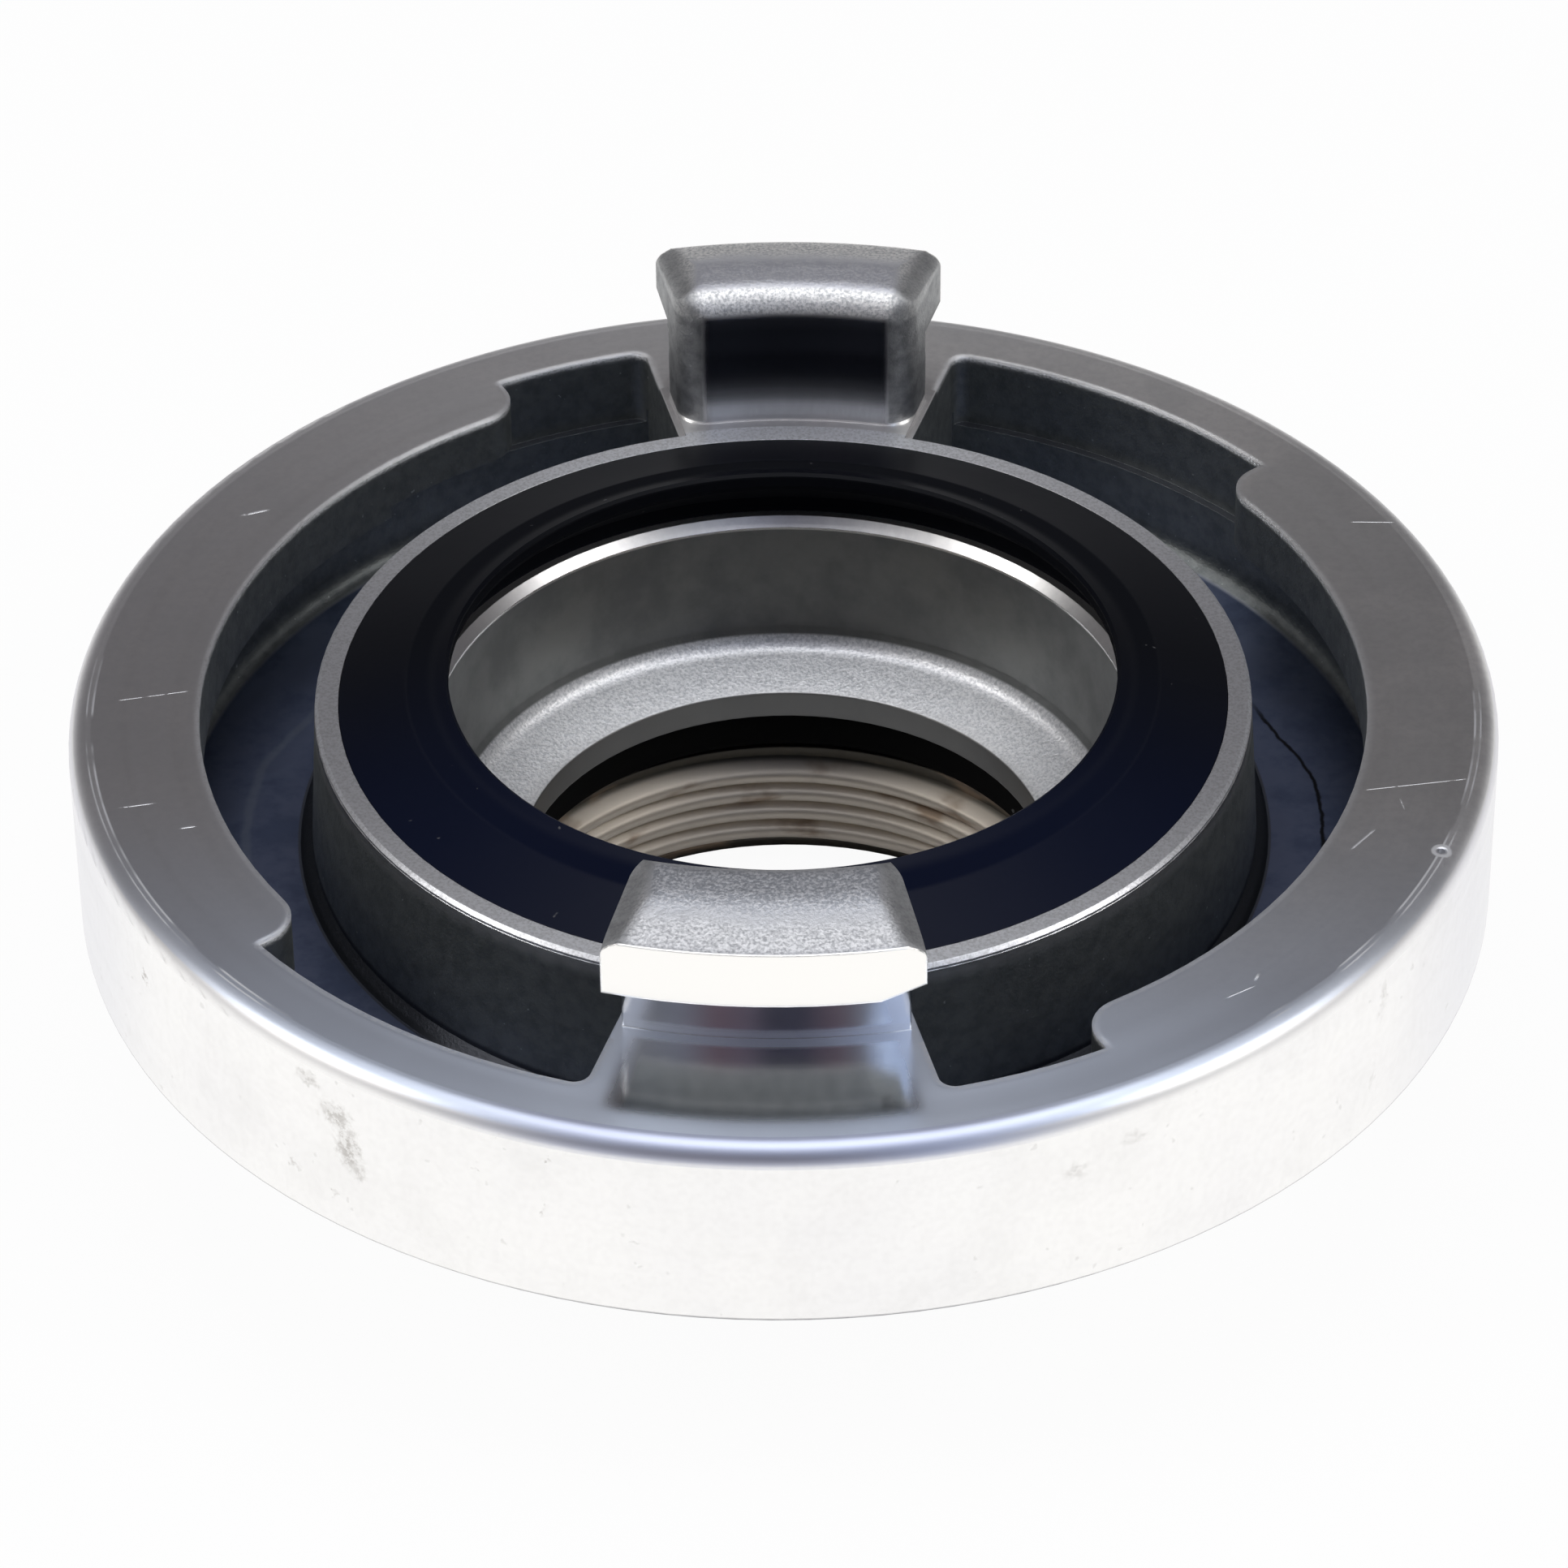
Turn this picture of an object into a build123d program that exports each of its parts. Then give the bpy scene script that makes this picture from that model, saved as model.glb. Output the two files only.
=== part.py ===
"""Fixed half of a quarter turn (claw) fire hose coupling with an internal pipe thread."""
from build123d import *
from math import atan2, cos, degrees, hypot, radians, sin, tan
import os

# ---------------------------------------------------------------- driving dimensions (mm, degrees)
# Hooked lugs: their spacing is what the size of such a coupling is known by
lug_spacing = 66.0
lug_half_angle = 14.35
web_half_angle = 15.05
neck_thickness = 4.6
neck_height = 6.0
hook_reach = 4.2
hook_face_height = 4.1
hook_root_edge = 0.4
crown_height = 1.1
crown_width = 4.4
crown_blend_radius = 6.0
crown_inner_radius = 2.0
lug_end_drop = 1.7
lug_end_run = 3.2
lug_end_radius = 1.0
lug_corner_radius = 2.3
ramp_run = 2.9
ramp_rise = 1.0

# Flange ring with its two lips, which the mating half's hooks run under
neck_clearance = 2.4
hook_clearance = 1.5
entry_clearance = 2.1
rim_width = 5.1
flange_height = 14.4
flange_edge_radius = 1.4
flange_foot_edge = 0.5
floor_thickness = 3.3
lip_thickness = 4.6
lip_pocket_depth = 0.95
lip_pocket_angle = 17.0
lip_corner_radius = 3.0
groove_root_edge = 1.5
recess_depth = 5.7
recess_corner_radius = 1.1
entry_step_angle = 40.3
stop_step_angle = -60.2

# Collar that carries the face seal, and the bore inside it
collar_rise = 0.45
collar_setback = 0.9
collar_draft = 3.6
collar_edge = 0.25
collar_root_edge = 0.8
collar_wall = 1.6
seal_pocket_depth = 2.7
bore_radius = 24.2
bore_taper = 0.8
bore_rim_edge = 0.6
ledge_root_edge = 0.9
ledge_slope = 14.5

# Pipe socket below the flange, G 1 1/4 internal thread
socket_height = 15.0
socket_wall = 5.5
socket_root_edge = 2.0
socket_edge = 0.8
thread_radius = 20.955
thread_mouth_chamfer = 0.9
relief_undercut = 0.645
relief_height = 4.8
throat_radius = 18.3
throat_length = 2.0
throat_drop = 0.9

# Rubber parts
seal_fit = 0.05
seal_rise = 2.2
seal_setback = 1.2
seal_lip_reach = 1.3
seal_lip_thickness = 1.3
seal_wall_height = 1.2
seal_edge = 0.25
gasket_fit = 0.1
gasket_width = 2.5
gasket_thickness = 3.0

# ---------------------------------------------------------------- derived radii, levels and angles
lug_inner_radius = lug_spacing / 2
neck_radius = lug_inner_radius + neck_thickness
hook_radius = neck_radius + hook_reach
lip_radius = neck_radius + neck_clearance
groove_radius = hook_radius + hook_clearance
recess_radius = hook_radius + entry_clearance
flange_radius = recess_radius + rim_width
collar_top_radius = lug_inner_radius - collar_setback
seal_pocket_radius = collar_top_radius - collar_wall
bore_foot_radius = bore_radius - bore_taper
relief_radius = thread_radius + relief_undercut
socket_radius = thread_radius + socket_wall

flange_foot = socket_height
groove_floor = flange_foot + floor_thickness
flange_top = flange_foot + flange_height
lip_foot = flange_top - lip_thickness
collar_top = flange_top + collar_rise
collar_foot_radius = collar_top_radius + (collar_top - groove_floor) * tan(radians(collar_draft))
seal_seat = collar_top - seal_pocket_depth
hook_foot = flange_top + neck_height
hook_face_top = hook_foot + hook_face_height
lug_top = hook_face_top + crown_height
hook_half_width = hook_radius * sin(radians(lug_half_angle))
pocket_half_angle = 90.0 - web_half_angle
throat_foot = socket_height - throat_drop
throat_top = throat_foot + throat_length
relief_foot = throat_foot - relief_height
ledge_top = throat_top + (bore_foot_radius - throat_radius) * tan(radians(ledge_slope))

# How far a cutting or adding shape runs past the faces that it has to clear
overrun = 1.0


def sector(inner, outer, start, end):
    """Face between two radii and two angles, drawn in the sketch that is open."""
    with BuildLine() as border:
        CenterArc((0, 0), outer, start, end - start)
        CenterArc((0, 0), inner, start, end - start)
        for angle in (start, end):
            Line(
                (inner * cos(radians(angle)), inner * sin(radians(angle))),
                (outer * cos(radians(angle)), outer * sin(radians(angle))),
            )
    make_face(border.edges())


def near(sketch, *points):
    """Vertices of an open sketch nearest to the given points of its plane."""
    return [sketch.vertices().sort_by_distance(Vector(*point))[0] for point in points]


# ---------------------------------------------------------------- groove between collar and skirt
with BuildPart() as groove:
    with BuildSketch(Plane.XZ) as groove_section:
        with BuildLine():
            Polyline(
                (collar_foot_radius, groove_floor),
                (groove_radius, groove_floor),
                (groove_radius, lip_foot),
                (lip_radius, lip_foot),
                (lip_radius, collar_top + overrun),
                (collar_top_radius - overrun * tan(radians(collar_draft)), collar_top + overrun),
                close=True,
            )
        make_face()
        chamfer(near(groove_section, (groove_radius, groove_floor)), groove_root_edge)
        chamfer(near(groove_section, (collar_foot_radius, groove_floor)), collar_root_edge)
    revolve(axis=Axis.Z, revolution_arc=2 * pocket_half_angle)

# ---------------------------------------------------------------- opening seen from the front
with BuildPart() as opening:
    opening_inner_radius = lip_radius - 2 * overrun
    with BuildSketch(Plane.XY.offset(flange_top + overrun)) as opening_plan:
        sector(opening_inner_radius, lip_radius, -pocket_half_angle, pocket_half_angle)
        sector(opening_inner_radius, recess_radius, -pocket_half_angle, stop_step_angle)
        sector(opening_inner_radius, recess_radius, entry_step_angle, pocket_half_angle)
        lip_corners = [
            v for v in opening_plan.vertices()
            if abs(hypot(v.X, v.Y) - lip_radius) < 0.01
            and abs(degrees(atan2(v.Y, v.X))) < pocket_half_angle - 1
        ]
        fillet(lip_corners, lip_corner_radius)
        recess_corners = [
            v for v in opening_plan.vertices()
            if abs(hypot(v.X, v.Y) - recess_radius) < 0.01
            and abs(degrees(atan2(v.Y, v.X))) > pocket_half_angle - 1
        ]
        fillet(recess_corners, recess_corner_radius)
    extrude(amount=-(recess_depth + overrun))

# ---------------------------------------------------------------- pocket under the end of the lip
with BuildPart() as lip_pocket:
    with BuildSketch(Plane.XY.offset(lip_foot + lip_pocket_depth)):
        pocket_start = stop_step_angle - 2
        sector(lip_radius - overrun, groove_radius, pocket_start, stop_step_angle + lip_pocket_angle)
    extrude(amount=-(lip_pocket_depth + overrun))

# ---------------------------------------------------------------- one hooked lug, pointing to +X
with BuildPart() as lug:
    with BuildSketch(Plane.XZ) as lug_section:
        with BuildLine():
            Polyline(
                (collar_top_radius - overrun, flange_top - overrun),
                (collar_top_radius - overrun, collar_top),
                (lug_inner_radius, collar_top),
                (lug_inner_radius, lug_top),
                (hook_radius - crown_width, lug_top),
                (hook_radius, hook_face_top),
                (hook_radius, hook_foot),
                (neck_radius, hook_foot),
                (neck_radius, flange_top - overrun),
                close=True,
            )
        make_face()
        fillet(near(lug_section, (lug_inner_radius, lug_top)), crown_inner_radius)
        fillet(near(lug_section, (hook_radius - crown_width, lug_top)), crown_blend_radius)
        chamfer(near(lug_section, (neck_radius, hook_foot)), hook_root_edge)
    revolve(axis=Axis.Z, revolution_arc=2 * lug_half_angle)

# The crown falls away at both ends of the lug
with BuildPart() as lug_outline:
    with BuildSketch(Plane.YZ.offset(collar_top_radius - 2 * overrun)) as outline_section:
        with BuildLine():
            Polyline(
                (-hook_half_width, flange_top - 2 * overrun),
                (-hook_half_width, lug_top - lug_end_drop),
                (lug_end_run - hook_half_width, lug_top),
                (hook_half_width - lug_end_run, lug_top),
                (hook_half_width, lug_top - lug_end_drop),
                (hook_half_width, flange_top - 2 * overrun),
                close=True,
            )
        make_face()
        shoulders = near(
            outline_section,
            (-hook_half_width, lug_top - lug_end_drop),
            (hook_half_width, lug_top - lug_end_drop),
        )
        fillet(shoulders, lug_end_radius)
        crown_corners = outline_section.vertices().group_by(Axis.Y)[-1]
        fillet(crown_corners, lug_corner_radius)
    extrude(amount=hook_radius - collar_top_radius + 3 * overrun)

# Lead-in ramp under the leading end of the hook
with BuildPart() as ramp:
    with BuildSketch(Plane.YZ.offset(neck_radius - overrun)):
        with BuildLine():
            Polyline(
                (hook_half_width - ramp_run, hook_foot),
                (hook_half_width + overrun, hook_foot + ramp_rise * (1 + overrun / ramp_run)),
                (hook_half_width + overrun, hook_foot - overrun / 2),
                (hook_half_width - ramp_run, hook_foot - overrun / 2),
                close=True,
            )
        make_face()
    extrude(amount=hook_reach + 2 * overrun)

# Rounded upright corners of the lug above the square foot on the collar's rim
with BuildPart() as lug_upright:
    with BuildSketch(Plane.XY.offset(flange_top - 2 * overrun)):
        sector(collar_top_radius - 2 * overrun, hook_radius + overrun, -lug_half_angle, lug_half_angle)
    extrude(amount=collar_rise + 2 * overrun)
    with BuildSketch(Plane.XY.offset(collar_top)) as upright_plan:
        sector(lug_inner_radius, hook_radius + overrun, -lug_half_angle, lug_half_angle)
        inner_corners = upright_plan.vertices().sort_by_distance(Vector(0, 0))[:2]
        fillet(inner_corners, lug_corner_radius)
    extrude(amount=lug_top - collar_top + overrun)

with BuildPart() as hooked_lug:
    add(lug.part, rotation=(0, 0, -lug_half_angle))
    add(lug_outline.part, mode=Mode.INTERSECT)
    add(lug_upright.part, mode=Mode.INTERSECT)
    add(ramp.part, mode=Mode.SUBTRACT)

# ---------------------------------------------------------------- coupling body
with BuildPart() as coupling_body:
    with BuildSketch(Plane.XZ) as body_section:
        with BuildLine():
            Polyline(
                (thread_radius + thread_mouth_chamfer / 2, 0),
                (socket_radius, 0),
                (socket_radius, flange_foot),
                (flange_radius, flange_foot),
                (flange_radius, flange_top),
                (collar_top_radius, flange_top),
                (collar_top_radius, collar_top),
                (seal_pocket_radius, collar_top),
                (seal_pocket_radius, seal_seat),
                (bore_radius, seal_seat),
                (bore_foot_radius, ledge_top),
                (throat_radius, throat_top),
                (throat_radius, throat_foot),
                (relief_radius, throat_foot),
                (relief_radius, relief_foot),
                (thread_radius, relief_foot),
                (thread_radius, thread_mouth_chamfer),
                close=True,
            )
        make_face()
        fillet(near(body_section, (flange_radius, flange_top)), flange_edge_radius)
        chamfer(near(body_section, (bore_foot_radius, ledge_top)), ledge_root_edge)
        chamfer(near(body_section, (collar_top_radius, collar_top)), collar_edge)
        chamfer(near(body_section, (bore_radius, seal_seat)), bore_rim_edge)
        chamfer(near(body_section, (socket_radius, flange_foot)), socket_root_edge)
        chamfer(near(body_section, (socket_radius, 0)), socket_edge)
        chamfer(near(body_section, (flange_radius, flange_foot)), flange_foot_edge)
    revolve(axis=Axis.Z)
    for half_turn in (0, 180):
        add(groove.part, rotation=(0, 0, half_turn - pocket_half_angle), mode=Mode.SUBTRACT)
        add(opening.part, rotation=(0, 0, half_turn), mode=Mode.SUBTRACT)
        add(lip_pocket.part, rotation=(0, 0, half_turn), mode=Mode.SUBTRACT)
        add(hooked_lug.part, rotation=(0, 0, half_turn - 90))

# ---------------------------------------------------------------- black rubber face seal
with BuildPart() as face_seal:
    seal_outer_radius = seal_pocket_radius - seal_fit
    seal_wall_radius = bore_radius + seal_setback
    seal_lip_radius = bore_radius - seal_lip_reach
    seal_peak = collar_top + seal_rise
    with BuildSketch(Plane.XZ) as seal_section:
        with BuildLine():
            Polyline(
                (seal_wall_radius, seal_seat),
                (seal_outer_radius, seal_seat),
                (seal_outer_radius, collar_top),
                (seal_lip_radius, seal_peak),
                (seal_lip_radius, seal_peak - seal_lip_thickness),
                (seal_wall_radius, seal_seat + seal_wall_height),
                close=True,
            )
        make_face()
        lip_edges = near(
            seal_section,
            (seal_lip_radius, seal_peak),
            (seal_lip_radius, seal_peak - seal_lip_thickness),
        )
        chamfer(lip_edges, seal_edge)
    revolve(axis=Axis.Z)

# ---------------------------------------------------------------- flat gasket in the thread relief
with BuildPart() as thread_gasket:
    with BuildSketch(Plane.XY.offset(throat_foot)):
        Circle(relief_radius - gasket_fit)
        Circle(relief_radius - gasket_fit - gasket_width, mode=Mode.SUBTRACT)
    extrude(amount=-gasket_thickness)

os.makedirs("parts", exist_ok=True)
coupling_body.part.label = "coupling_body"
export_step(coupling_body.part, "parts/coupling_body.step")
face_seal.part.label = "face_seal"
export_step(face_seal.part, "parts/face_seal.step")
thread_gasket.part.label = "thread_gasket"
export_step(thread_gasket.part, "parts/thread_gasket.step")
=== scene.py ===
"""Looks of the quarter turn fire hose coupling: materials, pipe thread, floor, light and camera."""
import math

import bmesh
import bpy
from mathutils import Matrix, Vector


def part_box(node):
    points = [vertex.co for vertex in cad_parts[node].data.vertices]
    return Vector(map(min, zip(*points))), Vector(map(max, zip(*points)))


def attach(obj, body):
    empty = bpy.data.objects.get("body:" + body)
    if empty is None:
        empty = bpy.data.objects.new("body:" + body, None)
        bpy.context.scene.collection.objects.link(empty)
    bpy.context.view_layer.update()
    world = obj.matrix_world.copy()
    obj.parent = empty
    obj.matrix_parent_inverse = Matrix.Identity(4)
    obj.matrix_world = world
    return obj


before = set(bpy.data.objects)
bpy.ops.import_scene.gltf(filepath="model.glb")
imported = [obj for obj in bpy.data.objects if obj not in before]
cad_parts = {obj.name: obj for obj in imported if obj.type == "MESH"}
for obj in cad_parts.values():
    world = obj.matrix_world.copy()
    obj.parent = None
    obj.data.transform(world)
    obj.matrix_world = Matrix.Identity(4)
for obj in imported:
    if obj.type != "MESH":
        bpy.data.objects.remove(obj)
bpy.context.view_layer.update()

MM = 0.001
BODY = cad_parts["coupling_body"]
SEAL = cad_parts["face_seal"]
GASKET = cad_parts["thread_gasket"]
BODY_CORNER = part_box("coupling_body")[1] / MM

# Levels and radii of the coupling, in millimetres. The socket's end is level 0 and the front lug is at -Y.
# The half width of the web and the lug's ends, where painted shade sets in, are sideways places: x over the
# radius.
FLANGE_FOOT = 15.0
FLANGE_TOP = 29.4
FLANGE_RADIUS = round(BODY_CORNER.x, 2)
GROOVE_FLOOR = 18.3
GROOVE_RADIUS = 43.3
RECESS_RADIUS = 43.9
LIP_ZONE_START = 39.0
LIP_ZONE_END = 44.8
COLLAR_RADIUS = 32.1
SEAL_INNER_RADIUS = 25.8
SEAL_INNER_TOP = 31.7
BORE_TOP = 26.4
BORE_RADIUS = 24.2
BORE_FOOT_RADIUS = 23.4
LEDGE_TOP = 17.4
LEDGE_FALL = math.tan(math.radians(14.5))
THROAT_TOP = 16.1
THROAT_FOOT = 14.1
THROAT_RADIUS = 18.3
RELIEF_RADIUS = 21.6
LUG_FOOT = 30.0
LUG_INNER_RADIUS = 33.0
WEB_HALF_WIDTH = math.sin(math.radians(12.5))
LUG_SHADED_ENDS = (0.195, 0.225)
WEB_END_RADIUS = 45.6
NECK_RADIUS = 37.6
HOOK_RADIUS = 41.8
HOOK_FOOT = 35.4
# Below this level the lugs' sides carry painted shade, and their inner side painted reflections
LUG_SIDE_TOP = 38.9
LUG_TOP = round(BODY_CORNER.z, 2)

# Roundings, in millimetres: the flange's top edge, the groove's root, then those that the bevel makes
EDGE_ROUNDING = 1.4
ROOT_ROUNDING = 1.5
SOFT_EDGE = 0.20
SOFT_LUG = 1.1
SOFT_GROOVE = 0.05
SOFT_LIP = 0.85
SOFT_COLLAR = 0.07

# Pipe thread G 1 1/4, in millimetres
THREAD_ROOT = 20.955
THREAD_CREST = 19.48
THREAD_PITCH = 25.4 / 11
THREAD_TOP = 9.3
THREAD_MOUTH = 0.9
THREAD_SUNK = 0.05
STEPS_A_TURN = 120
FADE_STEPS = 24


# ---------------------------------------------------------------- node tree helpers
class Graph:
    """Writes a node tree. A value is a number, a colour or another node's socket."""

    def __init__(self, tree):
        self.tree = tree
        self.tree.nodes.clear()

    def node(self, kind, **settings):
        made = self.tree.nodes.new("ShaderNode" + kind)
        for key, value in settings.items():
            setattr(made, key, value)
        return made

    def put(self, socket, value):
        if isinstance(value, bpy.types.NodeSocket):
            self.tree.links.new(value, socket)
        else:
            socket.default_value = value

    def math(self, operation, *values):
        made = self.node("Math", operation=operation)
        for socket, value in zip(made.inputs, values):
            self.put(socket, value)
        return made.outputs[0]

    def chain(self, operation, values):
        total = values[0]
        for value in values[1:]:
            total = self.math(operation, total, value)
        return total

    def add(self, *values):
        return self.chain("ADD", values)

    def times(self, *values):
        return self.chain("MULTIPLY", values)

    def most(self, *values):
        return self.chain("MAXIMUM", values)

    def size(self, value):
        return self.math("ABSOLUTE", value)

    def invert(self, value):
        return self.math("SUBTRACT", 1.0, value)

    def span(self, value, low, high):
        """0 at low and 1 at high, straight between them."""
        made = self.node("MapRange")
        for name, content in (("Value", value), ("From Min", low), ("From Max", high)):
            self.put(made.inputs[name], content)
        return made.outputs["Result"]

    def ramp(self, value, low, high, to_low=0.0, to_high=1.0):
        """to_low at low and to_high at high, with soft ends; low may be the larger one."""
        made = self.node("MapRange", interpolation_type="SMOOTHSTEP")
        given = {"Value": value, "From Min": low, "From Max": high, "To Min": to_low, "To Max": to_high}
        for name, content in given.items():
            self.put(made.inputs[name], content)
        return made.outputs["Result"]

    def above(self, value, level, soft=0.06):
        return self.ramp(value, level - soft, level + soft)

    def below(self, value, level, soft=0.06):
        return self.ramp(value, level - soft, level + soft, 1.0, 0.0)

    def between(self, value, low, high, soft=0.06):
        return self.times(self.above(value, low, soft), self.below(value, high, soft))

    def combine(self, x, y, z):
        made = self.node("CombineXYZ")
        for socket, value in zip(made.inputs, (x, y, z)):
            self.put(socket, value)
        return made.outputs[0]

    def split(self, vector):
        made = self.node("SeparateXYZ")
        self.put(made.inputs[0], vector)
        return made.outputs

    def vector(self, operation, *values):
        made = self.node("VectorMath", operation=operation)
        for socket, value in zip(made.inputs, values):
            self.put(socket, value)
        return made.outputs["Value"] if operation in ("DOT_PRODUCT", "LENGTH") else made.outputs[0]

    def mix(self, factor, first, second):
        """Mixes two colours."""
        made = self.node("Mix", data_type="RGBA")
        self.put(made.inputs["Factor"], factor)
        for name, color in (("A", first), ("B", second)):
            self.put(made.inputs[name], color if isinstance(color, bpy.types.NodeSocket) else (*color, 1))
        return made.outputs["Result"]

    def blend(self, factor, first, second):
        """Mixes two numbers."""
        made = self.node("Mix")
        for name, value in (("Factor", factor), ("A", first), ("B", second)):
            self.put(made.inputs[name], value)
        return made.outputs["Result"]


class Surface(Graph):
    """The node tree of a material; lengths in it are millimetres."""

    def __init__(self, name):
        self.material = bpy.data.materials.new(name)
        self.material.use_nodes = True
        super().__init__(self.material.node_tree)
        self.output = self.node("OutputMaterial")
        to_mm = (1 / MM, 1 / MM, 1 / MM)
        self.position = self.vector("MULTIPLY", self.node("TexCoord").outputs["Object"], to_mm)
        self.x, self.y, self.z = self.split(self.position)
        self.radius = self.math("SQRT", self.add(self.times(self.x, self.x), self.times(self.y, self.y)))
        self.unit_x = self.math("DIVIDE", self.x, self.radius)
        self.unit_y = self.math("DIVIDE", self.y, self.radius)
        self.sideways = self.size(self.unit_x)

    def noise(self, vector, scale, detail, roughness, output="Fac"):
        made = self.node("TexNoise")
        self.put(made.inputs["Vector"], vector)
        made.inputs["Scale"].default_value = scale
        made.inputs["Detail"].default_value = detail
        made.inputs["Roughness"].default_value = roughness
        return made.outputs[output]

    def turned_noise(self, value, around, along, detail, roughness):
        """A noise that runs round the axis: around is how fine it is there, along how fine along value."""
        place = self.combine(
            self.times(self.unit_x, around),
            self.times(self.unit_y, around),
            self.times(value, along),
        )
        return self.noise(place, 1.0, detail, roughness)

    def lean(self, across, up):
        """Unit normal made of a part away from the axis and a part up."""
        whole = self.combine(self.times(self.unit_x, across), self.times(self.unit_y, across), up)
        return self.vector("NORMALIZE", whole)

    def mix_normal(self, factor, first, second):
        made = self.node("Mix", data_type="VECTOR")
        for name, value in (("Factor", factor), ("A", first), ("B", second)):
            self.put(made.inputs[name], value)
        return self.vector("NORMALIZE", made.outputs["Result"])

    def speckle(self, pattern, first, second):
        """Two colours, mixed by a noise."""
        return self.mix(self.ramp(pattern, 0.35, 0.7), first, second)

    def spot(self, place, centre, width, height, hard=0.5):
        """Mask of a soft spot, whose half sizes are width in plan and height upwards."""
        away = self.vector("SUBTRACT", place, centre)
        scaled = self.vector("MULTIPLY", away, (1 / width, 1 / width, 1 / height))
        return self.ramp(self.vector("LENGTH", scaled), hard, 1.1, 1.0, 0.0)

    def segment(self, start, end, width):
        """Mask of a short straight scratch between two points of the plan."""
        direction = Vector(end) - Vector(start)
        length = direction.length
        direction.normalize()
        dx = self.math("SUBTRACT", self.x, start[0])
        dy = self.math("SUBTRACT", self.y, start[1])
        along = self.add(self.times(dx, direction.x), self.times(dy, direction.y))
        across = self.size(self.add(self.times(dx, -direction.y), self.times(dy, direction.x)))
        near = self.ramp(across, 0.3 * width, width, 1.0, 0.0)
        return self.times(self.between(along, 0.0, length, 0.3), near)

    def bevel(self, radius):
        made = self.node("Bevel", samples=4)
        self.put(made.inputs["Radius"], radius)
        return made.outputs[0]

    def bump(self, height, strength, distance, normal=None):
        made = self.node("Bump")
        self.put(made.inputs["Height"], height)
        self.put(made.inputs["Strength"], strength)
        made.inputs["Distance"].default_value = distance * MM
        if normal is not None:
            self.put(made.inputs["Normal"], normal)
        return made.outputs[0]


# ---------------------------------------------------------------- aluminium: wear
# Scratches on the flange's top: start, end, half width
SCRATCHES = (
    ((38.4, -16.7), (39.9, -14.7), 0.10),
    ((39.8, 21.4), (42.6, 21.4), 0.06),
    ((39.7, -10.2), (46.3, -8.9), 0.05),
    ((41.8, -11.3), (42.0, -12.2), 0.06),
    ((-45.4, -1.5), (-41.0, -0.4), 0.05),
    ((-44.1, -13.7), (-42.0, -13.2), 0.07),
    ((-39.8, -15.9), (-39.0, -15.7), 0.10),
    ((-39.1, 20.9), (-37.4, 21.6), 0.14),
    ((29.8, -32.7), (31.4, -31.6), 0.06),
    ((31.6, -30.8), (31.8, -30.3), 0.16),
)
PIT = (44.3, -16.9, FLANGE_TOP)
PIT_RADIUS = 0.40
PIT_RIM_RADIUS = 0.72
PIT_HEIGHT = 0.6

# Thin rings of painted highlight on the flange's edge: inner and outer radius
EDGE_HIGHLIGHT_RINGS = ((47.25, 47.40), (47.66, 47.76))

# Tool mark on the groove's floor
TOOL_MARK_RADIUS = 37.4

# Smudges on the outer wall: angle in degrees, level, half width, half height, strength
SMUDGES = (
    (235.5, 25.0, 1.5, 1.4, 0.50),
    (236.6, 22.6, 1.2, 2.4, 0.55),
    (237.5, 21.0, 0.8, 1.0, 0.40),
    (233.0, 27.0, 1.2, 0.7, 0.40),
    (231.0, 18.8, 0.5, 0.4, 0.50),
    (234.8, 18.1, 0.5, 0.4, 0.50),
    (253.8, 26.9, 0.3, 0.3, 0.50),
    (253.3, 22.7, 0.3, 0.5, 0.45),
    (247.8, 24.9, 0.3, 0.3, 0.40),
    (212.0, 24.6, 0.4, 1.0, 0.60),
    (294.0, 24.7, 1.2, 0.9, 0.20),
    (299.0, 26.0, 1.2, 0.7, 0.20),
    (325.0, 25.7, 0.5, 2.0, 0.25),
    (324.0, 19.5, 0.4, 1.5, 0.20),
)
SMUDGE_SHIFT = 2.2

# ---------------------------------------------------------------- aluminium: noises
# Fineness per millimetre, detail, roughness
GRAIN = (4.5, 3.0, 0.6)
LUMPS = (0.9, 4.0, 0.6)
STAIN = (0.07, 4.0, 0.55)
CLOUD = (0.22, 5.0, 0.6)
BLOTCHES = (1.5, 5.0, 0.7)
SPARKLES = (2.4, 1.0, 0.5)
SCRATCH_BREAKS = (1.5, 3.0, 0.5)
TOOL_WANDER = (0.8, 3.0, 0.5)
SMUDGE_RAGS = (1.4, 5.0, 0.5)
SMUDGE_BREAKS = (1.9, 5.0, 0.7)
WALL_DIRT = (0.12, 6.0, 0.65)
WALL_MOTTLE = (1.7, 4.0, 0.65)
WALL_SPECKS = (0.9, 2.0, 0.5)
# Those that run round the axis: fineness around it, fineness along the surface, detail, roughness
LINES = (0.8, 4.5, 2.0, 0.5)
BANDS = (0.6, 0.9, 3.0, 0.5)
SHEEN = (4.0, 0.08, 3.0, 0.6)
RING_BREAKS = (7.0, 0.5, 2.0, 0.5)
WALL_STREAKS = (42.0, 0.25, 3.0, 0.6)
THREAD_STAINS = (3.0, 0.5, 4.0, 0.5)

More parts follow.
